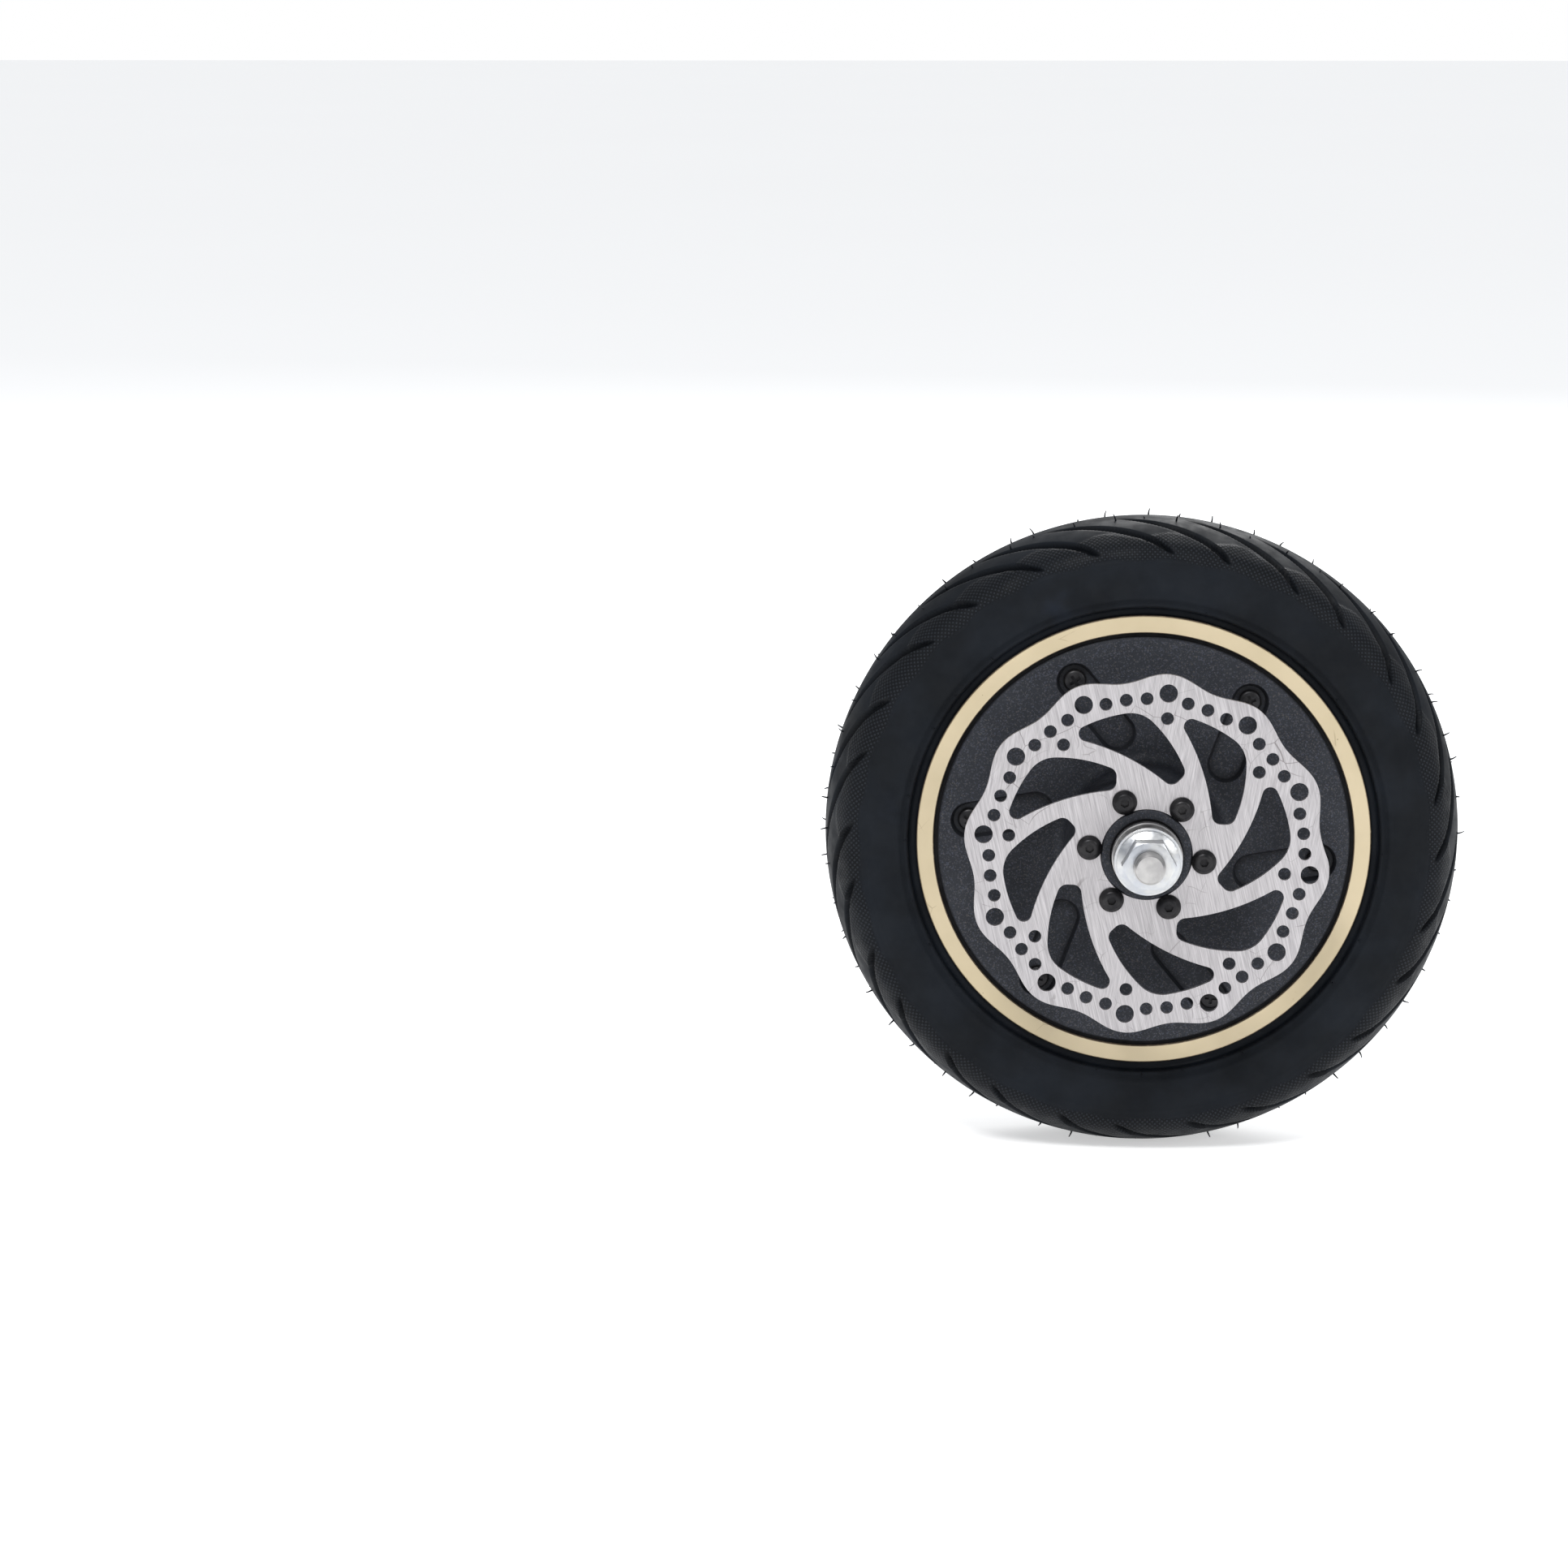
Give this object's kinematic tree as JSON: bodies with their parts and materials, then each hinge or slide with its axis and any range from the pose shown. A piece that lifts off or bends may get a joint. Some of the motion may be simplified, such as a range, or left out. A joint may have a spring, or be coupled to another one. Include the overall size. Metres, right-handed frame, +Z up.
{
  "type": "hub motor wheel",
  "caption": "Scooter hub motor wheel: pneumatic tyre, cream rim, dark bolted side covers with slanted pockets, wave-edged brake disc and a fixed hollow axle with nuts.",
  "frame": {"origin": "centre of the wheel, on the axle's line at the tyre's mid-plane", "axes": "+Y along the axle from the brake disc towards the motor's cable side, +X to the right seen from the brake side, +Z up"},
  "size_m": [0.248, 0.172, 0.248],
  "materials": {
    "tyre_rubber": "moulded rubber with a tread",
    "rim_paint": "cream satin paint on cast aluminium",
    "cover_coat": "dark speckled powder coat on cast aluminium",
    "disc_steel": "fine brushed stainless steel",
    "black_steel": "black oxide",
    "axle_steel": "turned steel",
    "bright_steel": "ground steel",
    "zinc_steel": "zinc plated",
    "black_rubber": "matte",
    "shield_rubber": "satin",
    "bare_aluminium": "machined casting",
    "lamination_steel": "stacked sheets",
    "insulator_plastic": "moulded",
    "copper_wire": "enamelled copper",
    "board_plastic": "solder mask",
    "sensor_plastic": "moulded",
    "lead_plastic": "flexible insulation",
    "back_iron": "machined",
    "magnet_plating": "nickel plated",
    "valve_brass": "turned brass",
    "black_plastic": "moulded"
  },
  "bodies": {
    "axle_assembly": {"axle": "axle_steel", "stator_key": "bright_steel", "carrier_circlip": "black_steel", "cable_grommet": "black_rubber", "stator_carrier": "bare_aluminium", "stator_core": "lamination_steel", "end_insulators": "insulator_plastic", "windings": "copper_wire", "hall_board": "board_plastic", "hall_sensors": "sensor_plastic", "phase_leads": "lead_plastic", "brake_side_bearing_inner_ring": "bright_steel", "cable_side_bearing_inner_ring": "bright_steel", "brake_side_axle_sleeve": "axle_steel", "cable_side_axle_sleeve": "axle_steel", "brake_side_tab_washer": "zinc_steel", "cable_side_tab_washer": "zinc_steel", "brake_side_axle_nut": "zinc_steel", "cable_side_axle_nut": "zinc_steel"},
    "wheel": {"tyre": "tyre_rubber", "rim": "rim_paint", "back_iron_ring": "back_iron", "magnets": "magnet_plating", "brake_rotor": "disc_steel", "rotor_bolts": "black_steel", "valve_stem": "valve_brass", "valve_core": "valve_brass", "brake_side_cover": "cover_coat", "cable_side_cover": "cover_coat", "brake_side_cover_screws": "black_steel", "cable_side_cover_screws": "black_steel", "brake_side_seal_ring": "black_rubber", "cable_side_seal_ring": "black_rubber", "brake_side_bearing_outer_ring": "bright_steel", "cable_side_bearing_outer_ring": "bright_steel", "brake_side_bearing_shields": "shield_rubber", "cable_side_bearing_shields": "shield_rubber", "brake_side_shaft_seal": "black_rubber", "cable_side_shaft_seal": "black_rubber"},
    "brake_side_ball_set": {"brake_side_bearing_balls": "bright_steel", "brake_side_bearing_cage": "bright_steel"},
    "cable_side_ball_set": {"cable_side_bearing_balls": "bright_steel", "cable_side_bearing_cage": "bright_steel"},
    "valve_pin": {"valve_pin": "valve_brass"},
    "valve_cap": {"valve_cap": "black_plastic"}
  },
  "joints": [
    {"name": "wheel_spin", "type": "hinge", "parent": "axle_assembly", "child": "wheel", "pos_m": [0, 0, 0], "axis": [0, 1, 0], "continuous": true},
    {"name": "brake_side_ball_set_spin", "type": "hinge", "parent": "axle_assembly", "child": "brake_side_ball_set", "pos_m": [0, 0, 0], "axis": [0, 1, 0], "continuous": true},
    {"name": "cable_side_ball_set_spin", "type": "hinge", "parent": "axle_assembly", "child": "cable_side_ball_set", "pos_m": [0, 0, 0], "axis": [0, 1, 0], "continuous": true},
    {"name": "valve_pin_press", "type": "slide", "parent": "wheel", "child": "valve_pin", "axis": [0.0331, -0.9563, 0.2905], "range_m": [0, 0.001], "stiffness_N_per_m": 300},
    {"name": "valve_cap_removal", "type": "slide", "parent": "wheel", "child": "valve_cap", "axis": [-0.0331, 0.9563, -0.2905], "range_m": [0, 0.012]}
  ],
  "couplings": [
    {"joint": "brake_side_ball_set_spin", "follows": "wheel_spin", "ratio": 0.6},
    {"joint": "cable_side_ball_set_spin", "follows": "wheel_spin", "ratio": 0.6}
  ]
}
